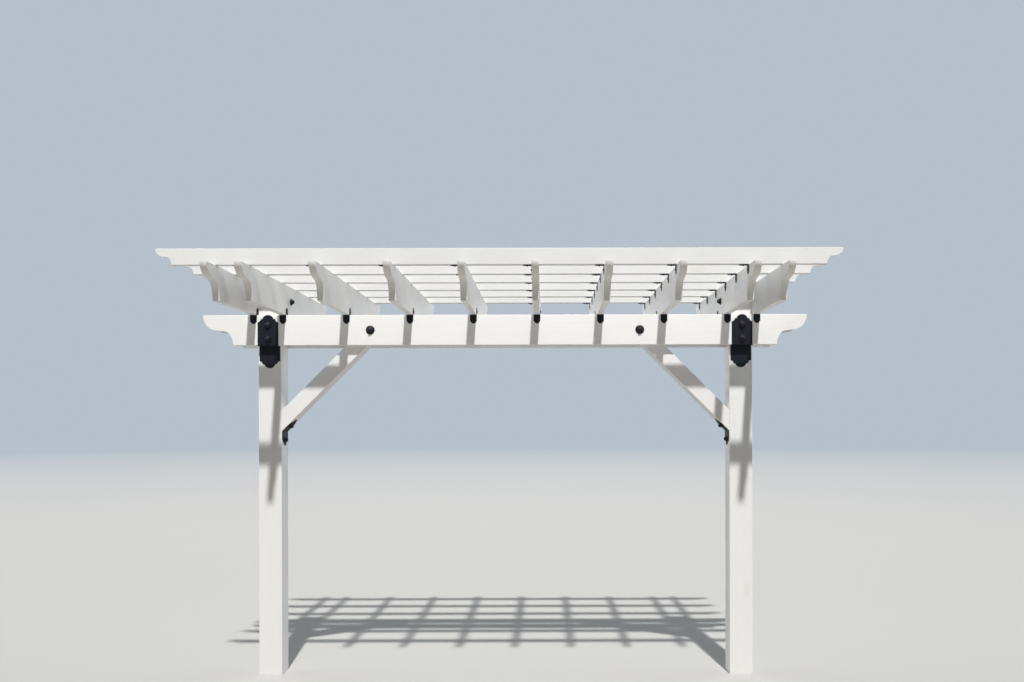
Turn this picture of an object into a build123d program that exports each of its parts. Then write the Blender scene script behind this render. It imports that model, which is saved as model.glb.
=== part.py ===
from build123d import *
import math
import os

# White timber pergola on two posts, with black steel brackets, clips and cap nuts.
# Millimetres. +X runs to the right along the beams, +Y to the back and +Z up.
# The origin is the centre of the left post's foot, at ground level.

# Posts
post_side = 139.7
post_spacing = 2870.0
clear_height = 2006.6

# Beams: one board on the front face of the posts and one on the back face
beam_thickness = 38.1
beam_depth = 184.15
beam_length = 3657.6

# Ogee at each end of a beam: a rounded nose, a short shelf, then a cove
beam_nose_run = 84.0
beam_nose_drop = 93.0
beam_shelf_run = 42.0
beam_shelf_drop = 5.0
beam_cove_run = 56.0

# Rafters: on edge on top of the beams, the outer two at each side clasp the post
rafter_thickness = 38.1
rafter_depth = 184.15
rafter_length = 1828.8
field_rafters = 6

# Ogee at each end of a rafter
rafter_nose_run = 112.0
rafter_nose_drop = 77.0
rafter_shelf_run = 6.0
rafter_shelf_drop = 2.0
rafter_cove_run = 68.0

# Top slats: on edge on top of the rafters
slat_thickness = 38.1
slat_depth = 88.9
slat_length = 3657.6
slat_count = 6
slat_spacing = 304.8

# Ogee at each end of a slat
slat_nose_run = 50.0
slat_nose_drop = 44.0
slat_shelf_run = 9.0
slat_shelf_drop = 2.0
slat_cove_run = 28.0

# Eased long edges of every board and post
edge_ease = 2.5

# Knee braces: the lower edge runs from the post up to the underside of the beams
brace_face = 88.9
brace_drop = 520.0
brace_run = 520.0

# Cap nuts: a rim, a domed washer, a six-sided nut and its tapered crown
nut_across_flats = 25.0
nut_height = 23.0
nut_crown_rise = 9.0
nut_crown_taper = 35.0
washer_rim = 2.0
washer_rise = 6.0
washer_seat_margin = 3.0
large_washer_diameter = 54.0
small_washer_diameter = 42.0
upper_nut_drop = 60.0
bracket_nut_pitch = 85.0

# Beam brackets: a leaf on the beam, a ledge under it and a leaf on the post
bracket_thickness = 3.2
bracket_margin = 7.5
bracket_bend_radius = 4.5
bracket_lower_leaf = 135.0
bracket_dome_half = 34.0
bracket_dome_rise = 25.0
bracket_cove_radius = 18.5

# Brace brackets: opened angles under the heel of each knee brace
heel_margin = 12.0
heel_post_leaf = 89.0
heel_brace_leaf = 102.0
heel_dome_half = 22.0
heel_dome_rise = 20.0
heel_cove_radius = 16.0

# Rafter clips: a plate on the beam and a strap up the side of the rafter
clip_thickness = 2.5
clip_plate_drop = 54.0
clip_strap_height = 45.0
clip_strap_setback = 2.0
clip_neck_drop = 20.0
clip_tip_rise = 12.0
clip_tip_width = 15.0

# Slat clips: angles in the corner between a slat and the left side of a rafter
slat_clip_leg = 50.0
slat_clip_margin = 2.0
slat_clip_tip_rise = 15.0
slat_clip_tip_width = 12.0

# Heights and places that follow from the sizes above
beam_bottom = clear_height
beam_top = beam_bottom + beam_depth
rafter_top = beam_top + rafter_depth
post_half = post_side / 2
middle_x = post_spacing / 2
beam_y = post_half + beam_thickness / 2
beam_face_y = post_half + beam_thickness
bracket_face_y = beam_face_y + bracket_thickness
clasp_offset = post_half + rafter_thickness / 2
clasp_face = post_half + rafter_thickness
upper_nut_z = beam_top - upper_nut_drop
lower_nut_z = upper_nut_z - bracket_nut_pitch
rafter_nut_z = beam_top + rafter_depth / 2

# Knee brace geometry: heel height, slope, and its width along a plumb and a level line
heel_z = beam_bottom - brace_drop
brace_slope = math.atan2(brace_drop, brace_run)
brace_plumb = brace_face / math.cos(brace_slope)
brace_level = brace_face / math.sin(brace_slope)
brace_climb_run = beam_depth / math.tan(brace_slope)
brace_nut_x = post_half + brace_run + (brace_climb_run - brace_level) / 2
brace_nut_z = beam_bottom + beam_depth / 2

# Rafter centres from left to right: the clasping pairs, with the field rafters between them
field_pitch = (post_spacing - 2 * clasp_offset) / (field_rafters + 1)
rafter_xs = [clasp_offset + field_pitch * step for step in range(field_rafters + 2)]
rafter_xs = [-clasp_offset] + rafter_xs + [post_spacing + clasp_offset]
clipped_rafters = rafter_xs[2:-1]

# Slat centres from front to back
slat_ys = [slat_spacing * (step - (slat_count - 1) / 2) for step in range(slat_count)]

standing = (Align.CENTER, Align.CENTER, Align.MIN)
mirror_plane = Plane.YZ.offset(middle_x)


def ogee_board(length, depth, thickness, nose_run, nose_drop, shelf_run, shelf_drop, cove_run):
    """Board on edge, centred on X and Y, underside on Z = 0, the same ogee at both ends."""
    tip = length / 2
    shelf_end = tip - nose_run - shelf_run
    cove_drop = depth - nose_drop - shelf_drop
    with BuildSketch() as half_side:
        with BuildLine():
            Line((0, depth), (tip, depth))
            nose = EllipticalCenterArc((tip - nose_run, depth), nose_run, nose_drop, 0, arc_size=-90)
            Line(nose @ 1, (shelf_end, cove_drop))
            cove = EllipticalCenterArc((shelf_end, 0), cove_run, cove_drop, 90, arc_size=90)
            Line(cove @ 1, (0, 0))
            Line((0, 0), (0, depth))
        make_face()
    side = half_side.sketch + mirror(half_side.sketch, about=Plane.YZ)
    board = extrude(Plane.XZ.offset(-thickness / 2) * side, amount=thickness)
    return chamfer(board.edges().filter_by(Axis.X), length=edge_ease)


def post(x):
    """Square timber post, its top level with the tops of the rafters."""
    timber = Box(post_side, post_side, rafter_top, align=standing)
    return Pos(x, 0, 0) * chamfer(timber.edges().filter_by(Axis.Z), length=edge_ease)


def beam(y):
    """Beam on one face of the posts."""
    board = ogee_board(beam_length, beam_depth, beam_thickness, beam_nose_run, beam_nose_drop,
                       beam_shelf_run, beam_shelf_drop, beam_cove_run)
    return Pos(middle_x, y, beam_bottom) * board


def rafter(x):
    """Rafter across the beams."""
    board = ogee_board(rafter_length, rafter_depth, rafter_thickness, rafter_nose_run, rafter_nose_drop,
                       rafter_shelf_run, rafter_shelf_drop, rafter_cove_run)
    return Pos(x, 0, beam_top) * Rot(0, 0, 90) * board


def top_slat(y):
    """Slat on edge across the rafters."""
    board = ogee_board(slat_length, slat_depth, slat_thickness, slat_nose_run, slat_nose_drop,
                       slat_shelf_run, slat_shelf_drop, slat_cove_run)
    return Pos(middle_x, y, rafter_top) * board


def knee_brace():
    """Left knee brace: plumb cut at the post, level cut at the top of the beams."""
    top_x = post_half + brace_run + brace_climb_run
    corners = [(post_half, heel_z), (top_x, beam_top), (top_x - brace_level, beam_top),
               (post_half, heel_z + brace_plumb)]
    side = make_face(Polyline(*corners, close=True))
    return extrude(Plane.XZ.offset(-post_half) * side, amount=post_side)


def cap_nut(washer_diameter):
    """Domed washer with a six-sided cap nut, standing up from Z = 0, a corner of the nut towards +Y."""
    washer_radius = washer_diameter / 2
    seat_radius = nut_across_flats / math.sqrt(3) + washer_seat_margin
    straight = nut_height - nut_crown_rise
    hexagon = RegularPolygon(nut_across_flats / 2, 6, major_radius=False, rotation=30)
    rim = Cylinder(washer_radius, washer_rim, align=standing)
    dome = Pos(0, 0, washer_rim) * Cone(washer_radius, seat_radius, washer_rise, align=standing)
    crown = Pos(0, 0, straight) * extrude(hexagon, amount=nut_crown_rise, taper=nut_crown_taper)
    return rim + dome + extrude(hexagon, amount=straight) + crown


def cap_nut_pair(x, z, face_y, washer_diameter):
    """The front and the back cap nut of one through rod."""
    nut = cap_nut(washer_diameter)
    front = Pos(x, -face_y, z) * Rot(90, 0, 0) * nut
    return [front, mirror(front, about=Plane.XZ)]


def scalloped_leaf(plane, width, length, dome_half, dome_rise, cove_radius):
    """Leaf along the plane's Y axis that ends in a dome between two shelves and two coves."""
    half = width / 2
    shelf_y = length - dome_rise
    with BuildSketch() as outline:
        with BuildLine():
            Line((-half, 0), (half, 0))
            ThreePointArc((dome_half, shelf_y), (0, length), (-dome_half, shelf_y))
            for side in (1, -1):
                start = 180 if side > 0 else 0
                cove = CenterArc((side * half, shelf_y), cove_radius, start, side * 90)
                Line(cove @ 0, (side * dome_half, shelf_y))
                Line(cove @ 1, (side * half, 0))
        make_face()
    return plane.location * extrude(outline.sketch, amount=bracket_thickness)


def blunt_leaf(plane, width, length, tip_rise, tip_width):
    """Thin leaf along the plane's Y axis with slanted shoulders and a blunt tip."""
    half = width / 2
    right_side = [(half, 0), (half, length - tip_rise), (tip_width / 2, length)]
    left_side = [(-x, y) for x, y in reversed(right_side)]
    outline = make_face(Polyline(*right_side, *left_side, close=True))
    return plane.location * extrude(outline, amount=clip_thickness)


def beam_bracket():
    """Front bracket of the left post: beam leaf, ledge and post leaf bent from one plate."""
    width = post_side - 2 * bracket_margin
    ledge_bottom = beam_bottom - bracket_thickness
    beam_side = Plane(origin=(0, -beam_face_y, beam_bottom), x_dir=(1, 0, 0), z_dir=(0, -1, 0))
    post_face = Plane(origin=(0, -post_half, beam_bottom), x_dir=(-1, 0, 0), z_dir=(0, -1, 0))
    upper_leaf = scalloped_leaf(beam_side, width, beam_depth, bracket_dome_half, bracket_dome_rise,
                                bracket_cove_radius)
    lower_leaf = scalloped_leaf(post_face, width, bracket_lower_leaf, bracket_dome_half, bracket_dome_rise,
                                bracket_cove_radius)
    ledge = Box(width, beam_thickness + bracket_thickness, bracket_thickness,
                align=(Align.CENTER, Align.MIN, Align.MIN))
    bracket = upper_leaf + Pos(0, -bracket_face_y, ledge_bottom) * ledge + lower_leaf
    bends = [(bracket_face_y, bracket_bend_radius),
             (post_half + bracket_thickness, bracket_bend_radius - bracket_thickness)]
    for bend_y, radius in bends:
        edge = bracket.edges().filter_by(Axis.X).sort_by_distance((0, -bend_y, ledge_bottom))[0]
        bracket = fillet(edge, radius=radius)
    return bracket


def heel_bracket():
    """Opened angle under the heel of the left knee brace."""
    width = post_side - 2 * heel_margin
    heel = (post_half, 0, heel_z)
    post_face = Plane(origin=heel, x_dir=(0, -1, 0), z_dir=(1, 0, 0))
    brace_normal = (math.sin(brace_slope), 0, -math.cos(brace_slope))
    brace_side = Plane(origin=heel, x_dir=(0, 1, 0), z_dir=brace_normal)
    post_leaf = scalloped_leaf(post_face, width, heel_post_leaf, heel_dome_half, heel_dome_rise,
                               heel_cove_radius)
    brace_leaf = scalloped_leaf(brace_side, width, heel_brace_leaf, heel_dome_half, heel_dome_rise,
                                heel_cove_radius)
    return post_leaf + brace_leaf


def rafter_clip():
    """Front clip of a rafter at X = 0: plate on the beam, strap up the rafter's right side."""
    rafter_side = rafter_thickness / 2
    plate_width = rafter_thickness + clip_thickness
    strap_width = beam_thickness + clip_thickness - clip_strap_setback
    front = -beam_face_y - clip_thickness
    plate_plane = Plane(origin=(clip_thickness / 2, -beam_face_y, beam_top), x_dir=(-1, 0, 0),
                        z_dir=(0, -1, 0))
    strap_plane = Plane(origin=(rafter_side, front + strap_width / 2, beam_top), x_dir=(0, 1, 0),
                        z_dir=(1, 0, 0))
    plate = blunt_leaf(plate_plane, plate_width, clip_plate_drop, clip_tip_rise, clip_tip_width)
    strap = blunt_leaf(strap_plane, strap_width, clip_strap_height, clip_tip_rise, clip_tip_width)
    neck = Box(clip_thickness, clip_thickness, clip_neck_drop, align=(Align.MIN, Align.MIN, Align.MAX))
    return plate + strap + Pos(rafter_side, front, beam_top + clip_thickness) * neck


def slat_clip():
    """Angle clip with its corner on the origin: one leg to the left, one leg down."""
    width = slat_thickness - 2 * slat_clip_margin
    under_slat = Plane(origin=(0, 0, 0), x_dir=(0, -1, 0), z_dir=(0, 0, -1))
    beside_rafter = Plane(origin=(0, 0, 0), x_dir=(0, 1, 0), z_dir=(-1, 0, 0))
    level_leg = blunt_leaf(under_slat, width, slat_clip_leg, slat_clip_tip_rise, slat_clip_tip_width)
    plumb_leg = blunt_leaf(beside_rafter, width, slat_clip_leg, slat_clip_tip_rise, slat_clip_tip_width)
    return level_leg + plumb_leg


def turned_to_back(shape):
    """The same piece turned half a turn about the upright axis at X = 0."""
    return Rot(0, 0, 180) * shape


def mirrored_to_right(shape):
    """The same piece on the right post."""
    return mirror(shape, about=mirror_plane)


def both_posts(shape):
    """The same piece on the left and on the right post."""
    return Compound([shape, Pos(post_spacing, 0, 0) * shape])


nodes = {}
nodes["post_left"] = post(0)
nodes["post_right"] = post(post_spacing)
nodes["beam_front"] = beam(-beam_y)
nodes["beam_back"] = beam(beam_y)

for number, rafter_x in enumerate(rafter_xs, start=1):
    nodes[f"rafter_{number:02d}"] = rafter(rafter_x)

for number, slat_y in enumerate(slat_ys, start=1):
    nodes[f"top_slat_{number}"] = top_slat(slat_y)
    clips = [Pos(x - rafter_thickness / 2, slat_y, rafter_top) * slat_clip() for x in clipped_rafters]
    nodes[f"slat_clips_{number}"] = Compound(clips)

front_clips = [Pos(x, 0, 0) * rafter_clip() for x in rafter_xs]
back_clips = [Pos(x, 0, 0) * turned_to_back(rafter_clip()) for x in rafter_xs]
nodes["rafter_clips_front"] = Compound(front_clips)
nodes["rafter_clips_back"] = Compound(back_clips)

left_brace = knee_brace()
nodes["knee_brace_left"] = left_brace
nodes["knee_brace_right"] = mirrored_to_right(left_brace)
left_heel_bracket = heel_bracket()
nodes["brace_brackets"] = Compound([left_heel_bracket, mirrored_to_right(left_heel_bracket)])

front_bracket = beam_bracket()
nodes["beam_brackets_front"] = both_posts(front_bracket)
nodes["beam_brackets_back"] = both_posts(turned_to_back(front_bracket))

bracket_nuts = []
brace_nuts = []
rafter_nuts = []
for post_x, brace_x in ((0, brace_nut_x), (post_spacing, post_spacing - brace_nut_x)):
    for nut_z in (upper_nut_z, lower_nut_z):
        bracket_nuts += cap_nut_pair(post_x, nut_z, bracket_face_y, small_washer_diameter)
    brace_nuts += cap_nut_pair(brace_x, brace_nut_z, beam_face_y, large_washer_diameter)
    for turn in (90, -90):
        side_face = Pos(post_x, 0, rafter_nut_z) * Rot(0, turn, 0) * Pos(0, 0, clasp_face)
        rafter_nuts.append(side_face * cap_nut(small_washer_diameter))
nodes["cap_nuts_on_brackets"] = Compound(bracket_nuts)
nodes["cap_nuts_on_braces"] = Compound(brace_nuts)
nodes["cap_nuts_on_rafters"] = Compound(rafter_nuts)

os.makedirs("parts", exist_ok=True)
for name, shape in nodes.items():
    export_step(shape, f"parts/{name}.step")
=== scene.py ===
import math
from itertools import product

import bmesh
import bpy
from mathutils import Matrix, Vector


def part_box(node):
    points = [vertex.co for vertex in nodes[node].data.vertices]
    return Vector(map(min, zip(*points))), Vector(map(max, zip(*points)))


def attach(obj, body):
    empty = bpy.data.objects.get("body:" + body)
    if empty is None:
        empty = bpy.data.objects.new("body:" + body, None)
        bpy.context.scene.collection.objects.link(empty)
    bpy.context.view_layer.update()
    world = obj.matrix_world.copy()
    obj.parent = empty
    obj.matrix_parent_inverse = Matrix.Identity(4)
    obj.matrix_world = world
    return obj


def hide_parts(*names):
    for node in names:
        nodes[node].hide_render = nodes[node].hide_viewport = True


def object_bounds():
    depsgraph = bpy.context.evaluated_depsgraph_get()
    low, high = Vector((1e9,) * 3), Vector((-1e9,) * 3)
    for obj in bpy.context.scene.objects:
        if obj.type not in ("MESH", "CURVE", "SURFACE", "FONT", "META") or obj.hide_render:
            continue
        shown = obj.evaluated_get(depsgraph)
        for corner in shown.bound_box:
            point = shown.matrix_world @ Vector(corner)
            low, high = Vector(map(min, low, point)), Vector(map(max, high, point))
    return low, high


# Looks of a white timber pergola with black steel hardware. Metres, +X right, +Y back, +Z up.

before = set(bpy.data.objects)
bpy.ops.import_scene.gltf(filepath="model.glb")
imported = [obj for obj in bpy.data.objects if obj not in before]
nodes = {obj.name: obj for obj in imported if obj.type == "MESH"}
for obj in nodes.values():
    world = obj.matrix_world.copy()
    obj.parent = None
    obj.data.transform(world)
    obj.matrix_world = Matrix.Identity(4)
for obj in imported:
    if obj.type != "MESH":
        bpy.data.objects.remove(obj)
cad_low, cad_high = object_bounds()

# Boards by the direction of their grain, braces by its angle, and the steel plates that keep their shape
BOARDS_ALONG_X = ["beam_front", "beam_back"] + [f"top_slat_{n}" for n in range(1, 7)]
BOARDS_ALONG_Y = [f"rafter_{n:02d}" for n in range(1, 11)]
POSTS = ["post_left", "post_right"]
BRACES = {"knee_brace_left": -45.0, "knee_brace_right": 45.0}
PLATES = ["beam_brackets_front", "beam_brackets_back", "brace_brackets"]

# Rounding of timber and steel edges, and the angles from which an edge is rounded or stays sharp
TIMBER_ROUNDING = 0.001
EDGE_ROUNDING = 0.0005
WELD_DISTANCE = 0.00001
ROUNDED_ANGLE = 28.0
SHARP_ANGLE = 32.0

# Small clips of rafters and slats; notch, inset and rise of the domed tip are shares of a leaf's width
CLIP_THICKNESS = 0.0025
LEAF_NOTCH = 0.15
LEAF_DOME_INSET = 0.1875
LEAF_DOME_RISE = 0.2
NECK_DROP = 0.02
NECK_RISE = 0.006
BEAM_SCREW_DROP = 0.026
RAFTER_SCREW_RISE = 0.018
SLAT_SCREW_SHARE = 0.52

# Round screw heads with a small recess in the crown
SCREW_RADIUS = 0.0055
SCREW_RIM = 0.0013
SCREW_HEIGHT = 0.0052
RECESS_RADIUS = 0.0011
RECESS_FOOT_RADIUS = 0.00088
RECESS_DEPTH = 0.00208

# Cap nuts: a six-sided nut with a round cap, its height measured from the foot of the domed washer
NUT_ACROSS_FLATS = 0.025
NUT_HEIGHT = 0.023
NUT_STRAIGHT = 0.0125
NUT_CHAMFER = 0.0016
CAP_OVERLAP = 0.003
CAP_RADIUS_SHARE = 0.46
CAP_TIP_SHARE = 0.04
WASHER_CHAMFER = 0.0006
WASHER_RIM = 0.002
WASHER_RISE = 0.006
WASHER_MARGIN = 0.002

# Bracket screws, from the post's middle and the beam's underside, and small cap nuts, from a brace's heel
BRACKET_THICKNESS = 0.0032
BRACKET_SCREW_OFFSET = 0.029
BRACKET_SCREW_DROP = 0.04
HEEL_NUT_REACH = 0.052
HEEL_NUT_SHARE = 0.78
HEEL_WASHER_RADIUS = 0.0165

# White paint, the tints of what shows in it or lies on it, a tint for tops that is dust and painted shade,
# and the width of its worn arrises
PAINT = (0.87, 0.87, 0.865)
PAINT_CLOUD = (0.9, 0.9, 0.896)
FIBRE_TINT = (0.79, 0.787, 0.775)
FIGURE_TINT = (0.82, 0.815, 0.8)
KNOT_TINT = (0.78, 0.74, 0.66)
SPECK_TINT = (0.62, 0.6, 0.56)
CUT_TINT = (0.76, 0.74, 0.7)
WORN_TINT = (0.7, 0.66, 0.58)
# Tops: part dust, part painted shade that keeps upward faces from outshining the fronts under the high lamp
TOP_DUST_AND_SHADE_TINT = (0.672, 0.662, 0.635)
WORN_TIMBER_WIDTH = 0.004

# Shift that gives each board its own stretch of grain
GRAIN_SHIFT = 37.0

# Black coat of the steel with a blue cast that is a painted reflection of the sky, the tints of its dust and
# rubbed arrises, and the width of those arrises
PLATE_BLACK_AND_SKY_REFLECTION = (0.0036, 0.0058, 0.0112)
NUT_BLACK_AND_SKY_REFLECTION = (0.0045, 0.0055, 0.011)
RUBBED_BRIGHTER = 1.45
STEEL_DUST_TINT = (0.06, 0.058, 0.053)
STEEL_WORN_TINT = (0.085, 0.083, 0.08)
WORN_STEEL_WIDTH = 0.0012

# Camera: level, in front of the pergola and a little to the right of its middle; pixels are the photo's
PHOTO_WIDTH = 1024
PHOTO_HEIGHT = 682
VANISHING_X = 545.5
VANISHING_Y = 424.6
CAMERA_ROLL = 0.12
FOCAL_PIXELS = 906.0
SENSOR_WIDTH = 36.0
EYE_HEIGHT = 1.524
CAMERA_DISTANCE = 5.486
CAMERA_RIGHT_OF_MIDDLE = 0.244

# Studio: a pale floor under a plain background, one high lamp and three soft ones
FLOOR_RADIUS = 80.0
FLOOR_FADE = 60.0
FLOOR_COLOUR = (0.5, 0.492, 0.475)
FLOOR_BOUNCE = (0.365, 0.347, 0.315)
BACKGROUND_COLOUR = (0.47, 0.53, 0.6)
SKY_COLOUR = (0.78, 0.88, 1.0)
SKY_STRENGTH = 0.04
WARM_LIGHT = (1.0, 0.993, 0.972)
COOL_LIGHT = (0.87, 0.925, 1.0)
WHITE_LIGHT = (1.0, 1.0, 1.0)


class Shader:
    """A material with helpers that add and join its nodes."""

    def __init__(self, name):
        self.material = bpy.data.materials.new(name)
        self.material.use_nodes = True
        self.tree = self.material.node_tree
        self.surface = self.tree.nodes["Principled BSDF"]

    def add(self, kind, inputs=None, **settings):
        """New node with its settings and inputs; an input is a value or another node's output."""
        node = self.tree.nodes.new(kind)
        for key, value in settings.items():
            setattr(node, key, value)
        self.feed(node, inputs or {})
        return node

    def feed(self, node, inputs):
        """Set or join inputs by name or number."""
        for key, value in inputs.items():
            if isinstance(value, bpy.types.NodeSocket):
                self.tree.links.new(value, node.inputs[key])
            else:
                node.inputs[key].default_value = value

    def ramp(self, factor, stops):
        """Grey ramp through (position, tone) stops; returns its colour output."""
        node = self.add("ShaderNodeValToRGB", {"Fac": factor})
        elements = node.color_ramp.elements
        while len(elements) < len(stops):
            elements.new(0.5)
        for element, (position, tone) in zip(elements, stops):
            element.position = position
            element.color = (tone, tone, tone, 1.0)
        return node.outputs["Color"]

    def mix(self, factor, first, second):
        """Mix two colours by a factor that another node gives; returns the result."""
        node = self.add("ShaderNodeMix", data_type="RGBA", blend_type="MIX")
        for key, value in (("Factor_Float", factor), ("A_Color", first), ("B_Color", second)):
            socket = next(item for item in node.inputs if item.identifier == key)
            if isinstance(value, bpy.types.NodeSocket):
                self.tree.links.new(value, socket)
            else:
                socket.default_value = (*value, 1.0)
        return next(item for item in node.outputs if item.identifier == "Result_Color")

    def layered(self, colour, layers):
        """Lay (share, tint) layers over a colour, one after the other; returns the result."""
        for share, tint in layers:
            colour = self.mix(share, colour, tint)
        return colour

    def math(self, operation, first, second=0.0):
        """Math node; returns its value."""
        return self.add("ShaderNodeMath", {0: first, 1: second}, operation=operation).outputs["Value"]

    def noise(self, vector, scale, detail=4.0, roughness=0.5, distortion=0.0):
        """Noise texture; returns its factor."""
        inputs = {"Vector": vector, "Scale": scale, "Detail": detail, "Roughness": roughness,
                  "Distortion": distortion}
        return self.add("ShaderNodeTexNoise", inputs).outputs["Fac"]

    def stretched(self, vector, along):
        """Texture space drawn out along X; along is the share that is left of its scale there."""
        inputs = {"Vector": vector, "Scale": (along, 1.0, 1.0)}
        return self.add("ShaderNodeMapping", inputs).outputs["Vector"]

    def facing(self, direction):
        """1 where a face looks along the direction, 0 across it, -1 against it."""
        normal = self.add("ShaderNodeNewGeometry").outputs["True Normal"]
        cosine = self.add("ShaderNodeVectorMath", {0: normal, 1: direction}, operation="DOT_PRODUCT")
        return cosine.outputs["Value"]

    def spread(self, value, low, high):
        """Bring a value from 0 to 1 to the range from low to high."""
        inputs = {"Value": value, "To Min": low, "To Max": high}
        return self.add("ShaderNodeMapRange", inputs).outputs["Result"]

    def arris(self, width):
        """Mask that is 1 along sharp edges and 0 on open faces."""
        rounded = self.add("ShaderNodeBevel", {"Radius": width}, samples=4).outputs["Normal"]
        plain = self.add("ShaderNodeNewGeometry").outputs["Normal"]
        match = self.add("ShaderNodeVectorMath", {0: rounded, 1: plain}, operation="DOT_PRODUCT")
        return self.ramp(match.outputs["Value"], [(0.84, 1.0), (0.985, 0.0)])

    def bump(self, height, strength, depth):
        """Relief of a height pattern; returns its normal."""
        inputs = {"Height": height, "Strength": strength, "Distance": depth}
        return self.add("ShaderNodeBump", inputs).outputs["Normal"]


def board_patterns(shader, turn):
    """Patterns of a planed board, each from 0 to 1. turn brings its grain to X."""
    where = shader.add("ShaderNodeTexCoord").outputs["Object"]
    each = shader.add("ShaderNodeObjectInfo").outputs["Random"]
    shift = shader.math("MULTIPLY", each, GRAIN_SHIFT)
    moved = shader.add("ShaderNodeVectorMath", {0: where, 1: shift}, operation="ADD").outputs["Vector"]
    along = shader.add("ShaderNodeMapping", {"Vector": moved, "Rotation": turn}).outputs["Vector"]
    fibre_space = shader.stretched(along, 0.04)
    brush_space = shader.stretched(along, 0.012)
    knot_space = shader.stretched(along, 0.45)
    cells = {"Vector": knot_space, "Scale": 3.1, "Randomness": 1.0}
    from_knot = shader.add("ShaderNodeTexVoronoi", cells, feature="F1").outputs["Distance"]
    return {
        "fibres": shader.noise(fibre_space, scale=260.0, detail=6.0, roughness=0.6),
        "figure": shader.noise(fibre_space, scale=42.0, detail=3.0, roughness=0.55, distortion=1.2),
        "brush": shader.noise(brush_space, scale=620.0, detail=2.0, roughness=0.4),
        "cloud": shader.noise(along, scale=2.6, detail=3.0),
        "specks": shader.noise(along, scale=190.0, detail=2.0),
        "dust": shader.noise(along, scale=24.0, detail=6.0, roughness=0.65),
        "knots": shader.ramp(from_knot, [(0.0, 1.0), (0.045, 0.85), (0.075, 0.0)]),
    }


def paint_colour(shader, board, end_cut, dust_and_shade):
    """White paint with faint grain, knots and specks, duller on cut ends and worn arrises, and greyer tops
    from dust and painted shade.
    """
    patchy = shader.ramp(board["dust"], [(0.45, 0.0), (0.62, 0.6)])
    worn = shader.math("MULTIPLY", shader.arris(WORN_TIMBER_WIDTH), patchy)
    return shader.layered(PAINT, [
        (shader.ramp(board["cloud"], [(0.3, 0.0), (0.7, 1.0)]), PAINT_CLOUD),
        (shader.ramp(board["fibres"], [(0.35, 0.2), (0.6, 0.0)]), FIBRE_TINT),
        (shader.ramp(board["figure"], [(0.42, 0.0), (0.5, 0.22), (0.58, 0.0)]), FIGURE_TINT),
        (shader.math("MULTIPLY", board["knots"], 0.35), KNOT_TINT),
        (shader.ramp(board["specks"], [(0.66, 0.0), (0.74, 0.35)]), SPECK_TINT),
        (shader.math("MULTIPLY", end_cut, 0.4), CUT_TINT),
        (worn, WORN_TINT),
        (dust_and_shade, TOP_DUST_AND_SHADE_TINT),
    ])


def paint_relief(shader, board, end_cut):
    """Height of the fibres, figure, brush marks and knots that show through paint, and of rough cut ends."""
    rough_ends = shader.math("MULTIPLY", end_cut, board["specks"])
    patterns = [(board["fibres"], 0.6), (board["figure"], 0.5), (board["brush"], 0.35),
                (board["knots"], 0.4), (rough_ends, 0.8)]
    height = 0.0
    for pattern, share in patterns:
        height = shader.math("ADD", height, shader.math("MULTIPLY", pattern, share))
    return height


def painted_timber(name, turn, grain_axis):
    """White satin paint on planed timber. turn brings the grain to X; grain_axis is its direction."""
    shader = Shader(name)
    board = board_patterns(shader, turn)
    along_grain = shader.math("ABSOLUTE", shader.facing(grain_axis))
    end_cut = shader.ramp(along_grain, [(0.12, 0.0), (0.4, 1.0)])
    # Upward faces are greyed by dust and by painted shade against the high lamp; the dust also makes them
    # matte
    level_top = shader.ramp(shader.facing((0, 0, 1)), [(0.55, 0.0), (0.85, 1.0)])
    settled = shader.ramp(board["dust"], [(0.3, 0.82), (0.62, 1.0)])
    dust_and_shade = shader.math("MULTIPLY", level_top, settled)
    satin = shader.spread(board["brush"], 0.36, 0.56)
    shader.feed(shader.surface, {
        "Base Color": paint_colour(shader, board, end_cut, dust_and_shade),
        "Roughness": shader.math("ADD", satin, shader.math("MULTIPLY", dust_and_shade, 0.35)),
        "Normal": shader.bump(paint_relief(shader, board, end_cut), strength=0.32, depth=0.0012),
    })
    return shader.material


def black_coat(name, tone, smooth, rough, grain, gloss):
    """Black coat, the blue cast of its tone a painted sky reflection, with a fine texture, faint dust and
    slightly rubbed high spots and arrises.
    """
    shader = Shader(name)
    where = shader.add("ShaderNodeTexCoord").outputs["Object"]
    fine = shader.noise(where, scale=grain, detail=3.0, roughness=0.55)
    broad = shader.noise(where, scale=34.0, detail=4.0)
    dust = shader.noise(where, scale=160.0, detail=5.0, roughness=0.7)
    rubbed = tuple(channel * RUBBED_BRIGHTER for channel in tone)
    patchy = shader.ramp(dust, [(0.4, 0.0), (0.6, 0.8)])
    colour = shader.layered(tone, [
        (shader.ramp(broad, [(0.35, 0.0), (0.7, 1.0)]), rubbed),
        (shader.ramp(dust, [(0.6, 0.0), (0.8, 0.25)]), STEEL_DUST_TINT),
        (shader.math("MULTIPLY", shader.arris(WORN_STEEL_WIDTH), patchy), STEEL_WORN_TINT),
    ])
    shader.feed(shader.surface, {
        "Base Color": colour,
        "Roughness": shader.spread(broad, smooth, rough),
        "Normal": shader.bump(fine, strength=0.35, depth=0.0006),
        "Specular IOR Level": gloss,
    })
    return shader.material


def dress(name, material, rounding):
    """Give a frame node its material and softly rounded arrises."""
    node = nodes[name]
    weld = node.modifiers.new("weld", "WELD")
    weld.merge_threshold = WELD_DISTANCE
    bevel = node.modifiers.new("arris", "BEVEL")
    bevel.width = rounding
    bevel.segments = 2
    bevel.limit_method = "ANGLE"
    bevel.angle_limit = math.radians(ROUNDED_ANGLE)
    bevel.harden_normals = True
    for holder in node.material_slots:
        holder.link = "OBJECT"
        holder.material = material


def middle_x(name):
    """X of the middle of a frame node."""
    low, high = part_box(name)
    return (low.x + high.x) / 2


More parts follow.
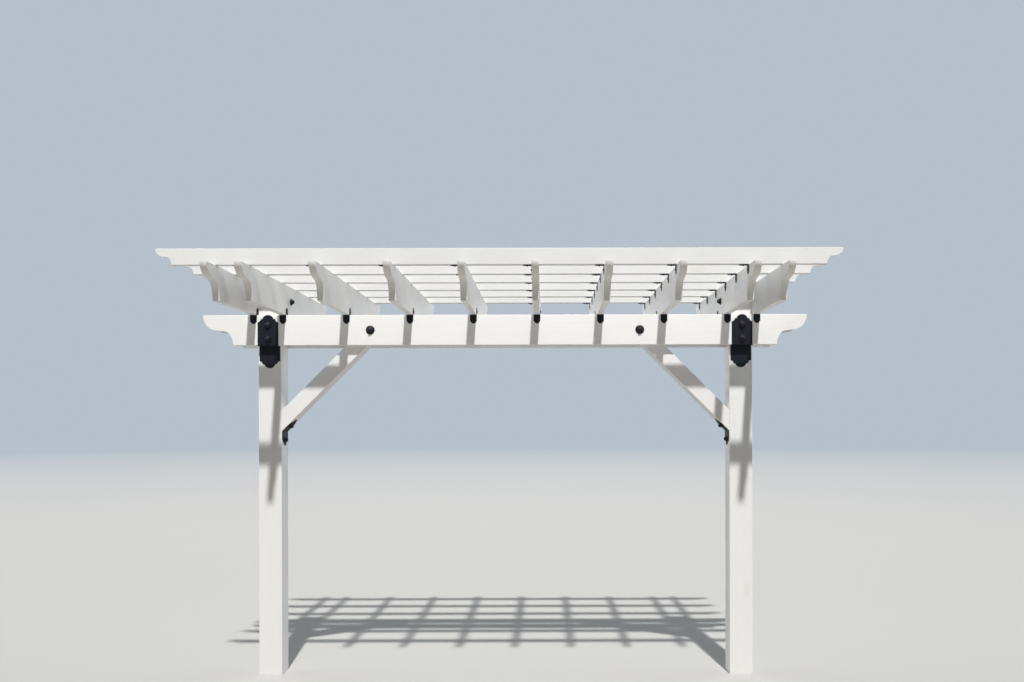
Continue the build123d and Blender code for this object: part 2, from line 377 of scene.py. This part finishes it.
def solids_of(name):
    """Boxes (low, high) of the separate solids in one frame node, from left to right. Corners at one place
    belong together, and so do the corners of one face."""
    mesh = nodes[name].data
    owner = {}

    def root(key):
        while owner[key] != key:
            owner[key] = owner[owner[key]]
            key = owner[key]
        return key

    keys = [tuple(round(value, 5) for value in vertex.co) for vertex in mesh.vertices]
    for key in keys:
        owner.setdefault(key, key)
    for polygon in mesh.polygons:
        first = root(keys[polygon.vertices[0]])
        for index in polygon.vertices[1:]:
            owner[root(keys[index])] = first
    groups = {}
    for key in owner:
        groups.setdefault(root(key), []).append(key)
    boxes = []
    for points in groups.values():
        low = Vector([min(point[axis] for point in points) for axis in range(3)])
        high = Vector([max(point[axis] for point in points) for axis in range(3)])
        boxes.append((low, high))
    return sorted(boxes, key=lambda box: (round(box[0].x, 3), round(box[0].y, 3), box[0].z))


def place_at(origin, along_x, up):
    """Matrix that puts Z on up and X on along_x at the origin."""
    z_axis = Vector(up).normalized()
    x_axis = Vector(along_x).normalized()
    y_axis = z_axis.cross(x_axis)
    turn = Matrix((x_axis, y_axis, z_axis)).transposed().to_4x4()
    return Matrix.Translation(origin) @ turn


def arc(centre, radius, start, end, steps):
    """Points on a circle from start to end, in degrees."""
    points = []
    for step in range(steps + 1):
        angle = math.radians(start + (end - start) * step / steps)
        points.append((centre[0] + radius * math.cos(angle), centre[1] + radius * math.sin(angle)))
    return points


def crown(radius, base, rise, first, last, steps):
    """Points of a rounded crown: step 0 is its rim, and step number steps its crest."""
    points = []
    for step in range(first, last + 1):
        angle = math.radians(90 * step / steps)
        points.append((radius * math.cos(angle), base + rise * math.sin(angle)))
    return points


def ring(part, corners, radius, height, first_angle=0.0):
    """Corners on a circle about Z, the first at first_angle in degrees."""
    vertices = []
    for corner in range(corners):
        angle = math.radians(first_angle) + 2 * math.pi * corner / corners
        vertices.append(part.verts.new((radius * math.cos(angle), radius * math.sin(angle), height)))
    return vertices


def skin(part, rings):
    """Faces from ring to ring, with the first and the last ring closed."""
    for lower, upper in zip(rings, rings[1:]):
        for index in range(len(lower)):
            after = (index + 1) % len(lower)
            part.faces.new((lower[index], lower[after], upper[after], upper[index]))
    part.faces.new(rings[0][::-1])
    part.faces.new(rings[-1])


def round_edges(part, edges):
    """Round some edges of a part softly."""
    bmesh.ops.bevel(part, geom=edges, offset=EDGE_ROUNDING, segments=2, affect="EDGES", clamp_overlap=True)


def join(mesh, part, place):
    """Move a finished part to its place and add it to the mesh that is being built."""
    bmesh.ops.recalc_face_normals(part, faces=part.faces)
    bmesh.ops.transform(part, matrix=place, verts=part.verts)
    copies = {}
    for vertex in part.verts:
        copies[vertex] = mesh.verts.new(vertex.co)
    for face in part.faces:
        mesh.faces.new([copies[vertex] for vertex in face.verts])
    part.free()


def finished(name, mesh, material, slot, *replaced):
    """Turn a built mesh into a smooth piece that rides on the pergola."""
    data = bpy.data.meshes.new(name)
    mesh.normal_update()
    mesh.to_mesh(data)
    mesh.free()
    data.materials.append(material)
    piece = bpy.data.objects.new(name, data)
    bpy.context.scene.collection.objects.link(piece)
    data.shade_smooth()
    data.set_sharp_from_angle(angle=math.radians(SHARP_ANGLE))
    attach(piece, "root")
    if replaced:
        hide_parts(*replaced)
    return piece


def add_plate(mesh, outline, place):
    """Clip plate with rounded edges: outline in its own XY plane, thickness along Z."""
    part = bmesh.new()
    bottom = [part.verts.new((x, y, 0.0)) for x, y in outline]
    top = [part.verts.new((x, y, CLIP_THICKNESS)) for x, y in outline]
    skin(part, [bottom, top])
    rims = [edge for edge in part.edges if len({vertex.co.z for vertex in edge.verts}) == 1]
    round_edges(part, rims)
    join(mesh, part, place)


def add_turned(mesh, profile, place, steps=40):
    """Turned solid about Z: profile is (radius, height) from the foot to the centre of the top."""
    part = bmesh.new()
    skin(part, [ring(part, steps, radius, height) for radius, height in profile])
    join(mesh, part, place)


def add_hexagon(mesh, across_flats, low, high, place):
    """Six-sided block with chamfered top corners and rounded edges, a corner towards +Y."""
    part = bmesh.new()
    radius = across_flats / math.sqrt(3)
    levels = [(radius, low), (radius, high - NUT_CHAMFER), (radius - NUT_CHAMFER, high)]
    skin(part, [ring(part, 6, size, height, first_angle=30.0) for size, height in levels])
    round_edges(part, part.edges[:])
    join(mesh, part, place)


def add_screw(mesh, place):
    """Round screw head: a low straight rim, a crown and a small recess in it."""
    profile = [(SCREW_RADIUS, 0.0), (SCREW_RADIUS, SCREW_RIM)]
    profile += crown(SCREW_RADIUS, SCREW_RIM, SCREW_HEIGHT - SCREW_RIM, first=1, last=6, steps=7)
    profile += [(RECESS_RADIUS, SCREW_HEIGHT), (RECESS_FOOT_RADIUS, SCREW_HEIGHT - RECESS_DEPTH)]
    add_turned(mesh, profile, place, steps=20)


def add_washer(mesh, radius, nut_corner, place):
    """Domed washer: a chamfered foot, a straight rim and a crown that rises to the corners of its nut."""
    profile = [(radius - WASHER_CHAMFER, 0.0), (radius, WASHER_CHAMFER), (radius, WASHER_RIM)]
    crest = nut_corner + WASHER_MARGIN
    for step in range(1, 9):
        share = step / 8
        height = WASHER_RIM + WASHER_RISE * math.sin(math.radians(90 * share))
        profile.append((radius + (crest - radius) * share, height))
    profile.append((nut_corner * 0.5, WASHER_RIM + WASHER_RISE))
    add_turned(mesh, profile, place)


def add_cap_nut(mesh, washer_radius, place, share=1.0):
    """Domed washer, six-sided nut with chamfered corners and its round cap; share scales the nut."""
    flats = NUT_ACROSS_FLATS * share
    add_washer(mesh, washer_radius, flats / math.sqrt(3), place)
    base = WASHER_RIM + NUT_STRAIGHT * share
    rise = NUT_HEIGHT * share - base
    add_hexagon(mesh, flats, WASHER_RIM, base + CAP_OVERLAP, place)
    radius = flats * CAP_RADIUS_SHARE
    cap = crown(radius, base, rise, first=0, last=9, steps=10)
    cap.append((radius * CAP_TIP_SHARE, base + rise))
    add_turned(mesh, cap, place, steps=32)


def leaf_outline(width, length):
    """Leaf of a small clip along +Y: straight sides, a notch and a shelf at each shoulder, a domed tip."""
    half = width / 2
    rise = width * LEAF_DOME_RISE
    shoulder = length - rise
    right = [(half, 0.0)]
    right += arc((half, shoulder), width * LEAF_NOTCH, start=270, end=180, steps=5)
    right += crown(half - width * LEAF_DOME_INSET, shoulder, rise, first=0, last=12, steps=12)
    left = [(-x, y) for x, y in reversed(right[:-1])]
    return right + left


def add_leaf(mesh, width, length, screw_reach, place):
    """Leaf of a small clip with a screw on its middle line, screw_reach from its foot."""
    add_plate(mesh, leaf_outline(width, length), place)
    add_screw(mesh, place @ Matrix.Translation((0, screw_reach, CLIP_THICKNESS)))


def cap_nuts(name, node, material):
    """Detailed cap nuts in place of the plain ones of a node. Those on rafters face away from the nearest
    post along X, the others away from the middle of the pergola along Y."""
    mesh = bmesh.new()
    post_xs = [middle_x(post) for post in POSTS]
    for low, high in solids_of(node):
        size = high - low
        centre = (low + high) / 2
        if size.x < size.y:
            nearest = min(post_xs, key=lambda x: abs(x - centre.x))
            outward = 1.0 if centre.x > nearest else -1.0
            foot = (low.x if outward > 0 else high.x, centre.y, centre.z)
            place = place_at(foot, (0, -outward, 0), (outward, 0, 0))
            radius = size.z / 2
        else:
            outward = 1.0 if centre.y > 0 else -1.0
            foot = (centre.x, low.y if outward > 0 else high.y, centre.z)
            place = place_at(foot, (-outward, 0, 0), (0, outward, 0))
            radius = size.x / 2
        add_cap_nut(mesh, radius, place)
    return finished(name, mesh, material, "black_nuts", node)


def rafter_clips(name, node, beam, facing, material):
    """Detailed rafter clips: a leaf on the beam, a leaf up the rafter and a neck that joins them.
    facing is -1 on the front beam, with the clip on the right side of a rafter, and 1 on the back beam,
    with the clip on its left side."""
    mesh = bmesh.new()
    beam_low, beam_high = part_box(beam)
    beam_top = beam_high.z
    beam_face = beam_low.y if facing < 0 else beam_high.y
    side = -facing
    half = CLIP_THICKNESS / 2
    neck = [(-half, -NECK_DROP), (half, -NECK_DROP), (half, NECK_RISE), (-half, NECK_RISE)]
    for low, high in solids_of(node):
        centre = (low + high) / 2
        outer_face = high.x if side > 0 else low.x
        leaf_x = outer_face - side * CLIP_THICKNESS
        on_beam = place_at((centre.x, beam_face, beam_top + half), (facing, 0, 0), (0, facing, 0))
        on_rafter = place_at((leaf_x, centre.y, beam_top), (0, side, 0), (side, 0, 0))
        at_bend = place_at((leaf_x, beam_face + facing * half, beam_top), (0, side, 0), (side, 0, 0))
        add_leaf(mesh, high.x - low.x, beam_top + half - low.z, BEAM_SCREW_DROP + half, on_beam)
        add_leaf(mesh, high.y - low.y, high.z - beam_top, RAFTER_SCREW_RISE, on_rafter)
        add_plate(mesh, neck, at_bend)
    return finished(name, mesh, material, "black_plate", node)


def slat_clips(name, node, material):
    """Detailed slat clips: a leaf under the slat and a leaf down the left side of the rafter."""
    mesh = bmesh.new()
    for low, high in solids_of(node):
        size = high - low
        corner = (high.x, (low.y + high.y) / 2, high.z)
        screw_reach = size.x * SLAT_SCREW_SHARE
        add_leaf(mesh, size.y, size.x, screw_reach, place_at(corner, (0, -1, 0), (0, 0, -1)))
        add_leaf(mesh, size.y, size.z, screw_reach, place_at(corner, (0, 1, 0), (-1, 0, 0)))
    return finished(name, mesh, material, "black_plate", node)


def bracket_screws(material):
    """Two screws side by side in the lower leaf of each beam bracket."""
    mesh = bmesh.new()
    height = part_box("beam_front")[0].z - BRACKET_SCREW_DROP
    leaf_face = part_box("post_left")[1].y + BRACKET_THICKNESS
    for post, facing, side in product(POSTS, (-1, 1), (-1, 1)):
        seat = (middle_x(post) + side * BRACKET_SCREW_OFFSET, facing * leaf_face, height)
        add_screw(mesh, place_at(seat, (facing, 0, 0), (0, facing, 0)))
    return finished("beam_bracket_screws", mesh, material, "black_nuts")


def brace_bracket_lags(material):
    """A small cap nut in each leaf of the brace brackets: one leaf runs down the post, one up the brace."""
    mesh = bmesh.new()
    for (low, high), hand, side in zip(solids_of("brace_brackets"), ("left", "right"), (1, -1)):
        heel_x = low.x if side > 0 else high.x
        heel = Vector((heel_x, 0.0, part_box(f"knee_brace_{hand}")[0].z))
        for along, outward in (((0, 0, -1), (side, 0, 0)), ((side, 0, 1), (side, 0, -1))):
            on_timber = heel + Vector(along).normalized() * HEEL_NUT_REACH
            seat = on_timber + Vector(outward).normalized() * BRACKET_THICKNESS
            add_cap_nut(mesh, HEEL_WASHER_RADIUS, place_at(seat, (0, 1, 0), outward), HEEL_NUT_SHARE)
    return finished("brace_bracket_lags", mesh, material, "black_nuts")


def add_floor():
    """Plain pale floor that fades into the background far away."""
    shader = Shader("pale_floor")
    where = shader.add("ShaderNodeTexCoord").outputs["Object"]
    distance = shader.add("ShaderNodeVectorMath", {0: where}, operation="LENGTH").outputs["Value"]
    far = shader.ramp(shader.math("DIVIDE", distance, FLOOR_FADE), [(0.15, 0.0), (0.9, 1.0)])
    seen = shader.add("ShaderNodeLightPath").outputs["Is Camera Ray"]
    colour = shader.mix(seen, FLOOR_BOUNCE, FLOOR_COLOUR)
    shader.feed(shader.surface, {"Base Color": colour, "Roughness": 0.85})
    glow = shader.add("ShaderNodeEmission", {"Color": (*BACKGROUND_COLOUR, 1.0), "Strength": 1.0})
    mix = shader.add("ShaderNodeMixShader", {0: far, 1: shader.surface.outputs["BSDF"],
                                            2: glow.outputs["Emission"]})
    output = shader.tree.nodes["Material Output"]
    shader.tree.links.new(mix.outputs["Shader"], output.inputs["Surface"])
    bpy.ops.mesh.primitive_circle_add(vertices=96, radius=FLOOR_RADIUS, fill_type="NGON")
    floor = bpy.context.object
    floor.name = "floor"
    floor.data.materials.append(shader.material)


def add_world():
    """Soft sky light, with a plain background where the camera or a reflection sees it."""
    world = bpy.data.worlds.new("studio")
    bpy.context.scene.world = world
    world.use_nodes = True
    tree = world.node_tree
    light = tree.nodes["Background"]
    light.inputs["Color"].default_value = (*SKY_COLOUR, 1.0)
    light.inputs["Strength"].default_value = SKY_STRENGTH
    plain = tree.nodes.new("ShaderNodeBackground")
    plain.inputs["Color"].default_value = (*BACKGROUND_COLOUR, 1.0)
    plain.inputs["Strength"].default_value = 1.0
    path = tree.nodes.new("ShaderNodeLightPath")
    seen = path.outputs["Is Camera Ray"]
    for ray in ("Is Glossy Ray", "Is Transmission Ray"):
        either = tree.nodes.new("ShaderNodeMath")
        either.operation = "MAXIMUM"
        tree.links.new(seen, either.inputs[0])
        tree.links.new(path.outputs[ray], either.inputs[1])
        seen = either.outputs["Value"]
    mix = tree.nodes.new("ShaderNodeMixShader")
    tree.links.new(seen, mix.inputs[0])
    tree.links.new(light.outputs["Background"], mix.inputs[1])
    tree.links.new(plain.outputs["Background"], mix.inputs[2])
    tree.links.new(mix.outputs["Shader"], tree.nodes["World Output"].inputs["Surface"])


def add_lamp(name, strength, colour, softness, elevation, azimuth):
    """Distant lamp, angles in degrees. Azimuth 0 shines from the front, positive from the right."""
    lamp = bpy.data.lights.new(name, "SUN")
    lamp.energy = strength
    lamp.color = colour
    lamp.angle = math.radians(softness)
    holder = bpy.data.objects.new(name, lamp)
    bpy.context.scene.collection.objects.link(holder)
    rise = math.radians(elevation)
    turn = math.radians(azimuth)
    towards = Vector((math.sin(turn) * math.cos(rise), -math.cos(turn) * math.cos(rise), math.sin(rise)))
    holder.rotation_mode = "QUATERNION"
    holder.rotation_quaternion = towards.to_track_quat("Z", "Y")


def add_camera():
    """Camera at the photo's place, with a shift that puts the vanishing point where the photo has it."""
    camera = bpy.data.cameras.new("camera")
    camera.sensor_width = SENSOR_WIDTH
    camera.lens = FOCAL_PIXELS / PHOTO_WIDTH * SENSOR_WIDTH
    camera.shift_x = (PHOTO_WIDTH / 2 - VANISHING_X) / PHOTO_WIDTH
    camera.shift_y = (VANISHING_Y - PHOTO_HEIGHT / 2) / PHOTO_WIDTH
    holder = bpy.data.objects.new("camera", camera)
    bpy.context.scene.collection.objects.link(holder)
    pergola_middle = (cad_low.x + cad_high.x) / 2
    beam_front_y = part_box("beam_front")[0].y
    holder.location = (pergola_middle + CAMERA_RIGHT_OF_MIDDLE, beam_front_y - CAMERA_DISTANCE, EYE_HEIGHT)
    holder.rotation_euler = (math.radians(90), math.radians(CAMERA_ROLL), 0)
    bpy.context.scene.camera = holder


# Timber
board_x = painted_timber("painted_timber_along_x", (0, 0, 0), (1, 0, 0))
board_y = painted_timber("painted_timber_along_y", (0, 0, math.radians(90)), (0, 1, 0))
board_z = painted_timber("painted_timber_along_z", (0, math.radians(90), 0), (0, 0, 1))
for boards, paint in ((BOARDS_ALONG_X, board_x), (BOARDS_ALONG_Y, board_y), (POSTS, board_z)):
    for name in boards:
        dress(name, paint, TIMBER_ROUNDING)
for name, slope in BRACES.items():
    axis = (math.cos(math.radians(slope)), 0.0, -math.sin(math.radians(slope)))
    brace_paint = painted_timber(f"painted_{name}", (0, math.radians(-slope), 0), axis)
    dress(name, brace_paint, TIMBER_ROUNDING)

# Hardware
# Both black tones carry a blue cast that is painted sky reflection
plate_coat = black_coat("black_powder_coat", PLATE_BLACK_AND_SKY_REFLECTION, smooth=0.5, rough=0.7, grain=900.0, gloss=0.24)
nut_coat = black_coat("black_nut_coat", NUT_BLACK_AND_SKY_REFLECTION, smooth=0.38, rough=0.52, grain=500.0, gloss=0.36)
for name in PLATES:
    dress(name, plate_coat, EDGE_ROUNDING)
cap_nuts("bracket_cap_nuts", "cap_nuts_on_brackets", nut_coat)
cap_nuts("brace_cap_nuts", "cap_nuts_on_braces", nut_coat)
cap_nuts("rafter_cap_nuts", "cap_nuts_on_rafters", nut_coat)
rafter_clips("front_rafter_clips", "rafter_clips_front", "beam_front", -1, plate_coat)
rafter_clips("back_rafter_clips", "rafter_clips_back", "beam_back", 1, plate_coat)
for number in range(1, 7):
    slat_clips(f"under_slat_clips_{number}", f"slat_clips_{number}", plate_coat)
bracket_screws(nut_coat)
brace_bracket_lags(nut_coat)

# Studio
add_floor()
add_world()
add_lamp("key", 3.75, WARM_LIGHT, softness=1.6, elevation=57.0, azimuth=6.2)
add_lamp("left_side", 0.94, COOL_LIGHT, softness=45.0, elevation=22.0, azimuth=-104.0)
add_lamp("right_side", 0.85, COOL_LIGHT, softness=45.0, elevation=22.0, azimuth=104.0)
add_lamp("back", 0.65, WHITE_LIGHT, softness=40.0, elevation=14.0, azimuth=180.0)
add_camera()

bpy.context.scene.view_settings.view_transform = "Standard"
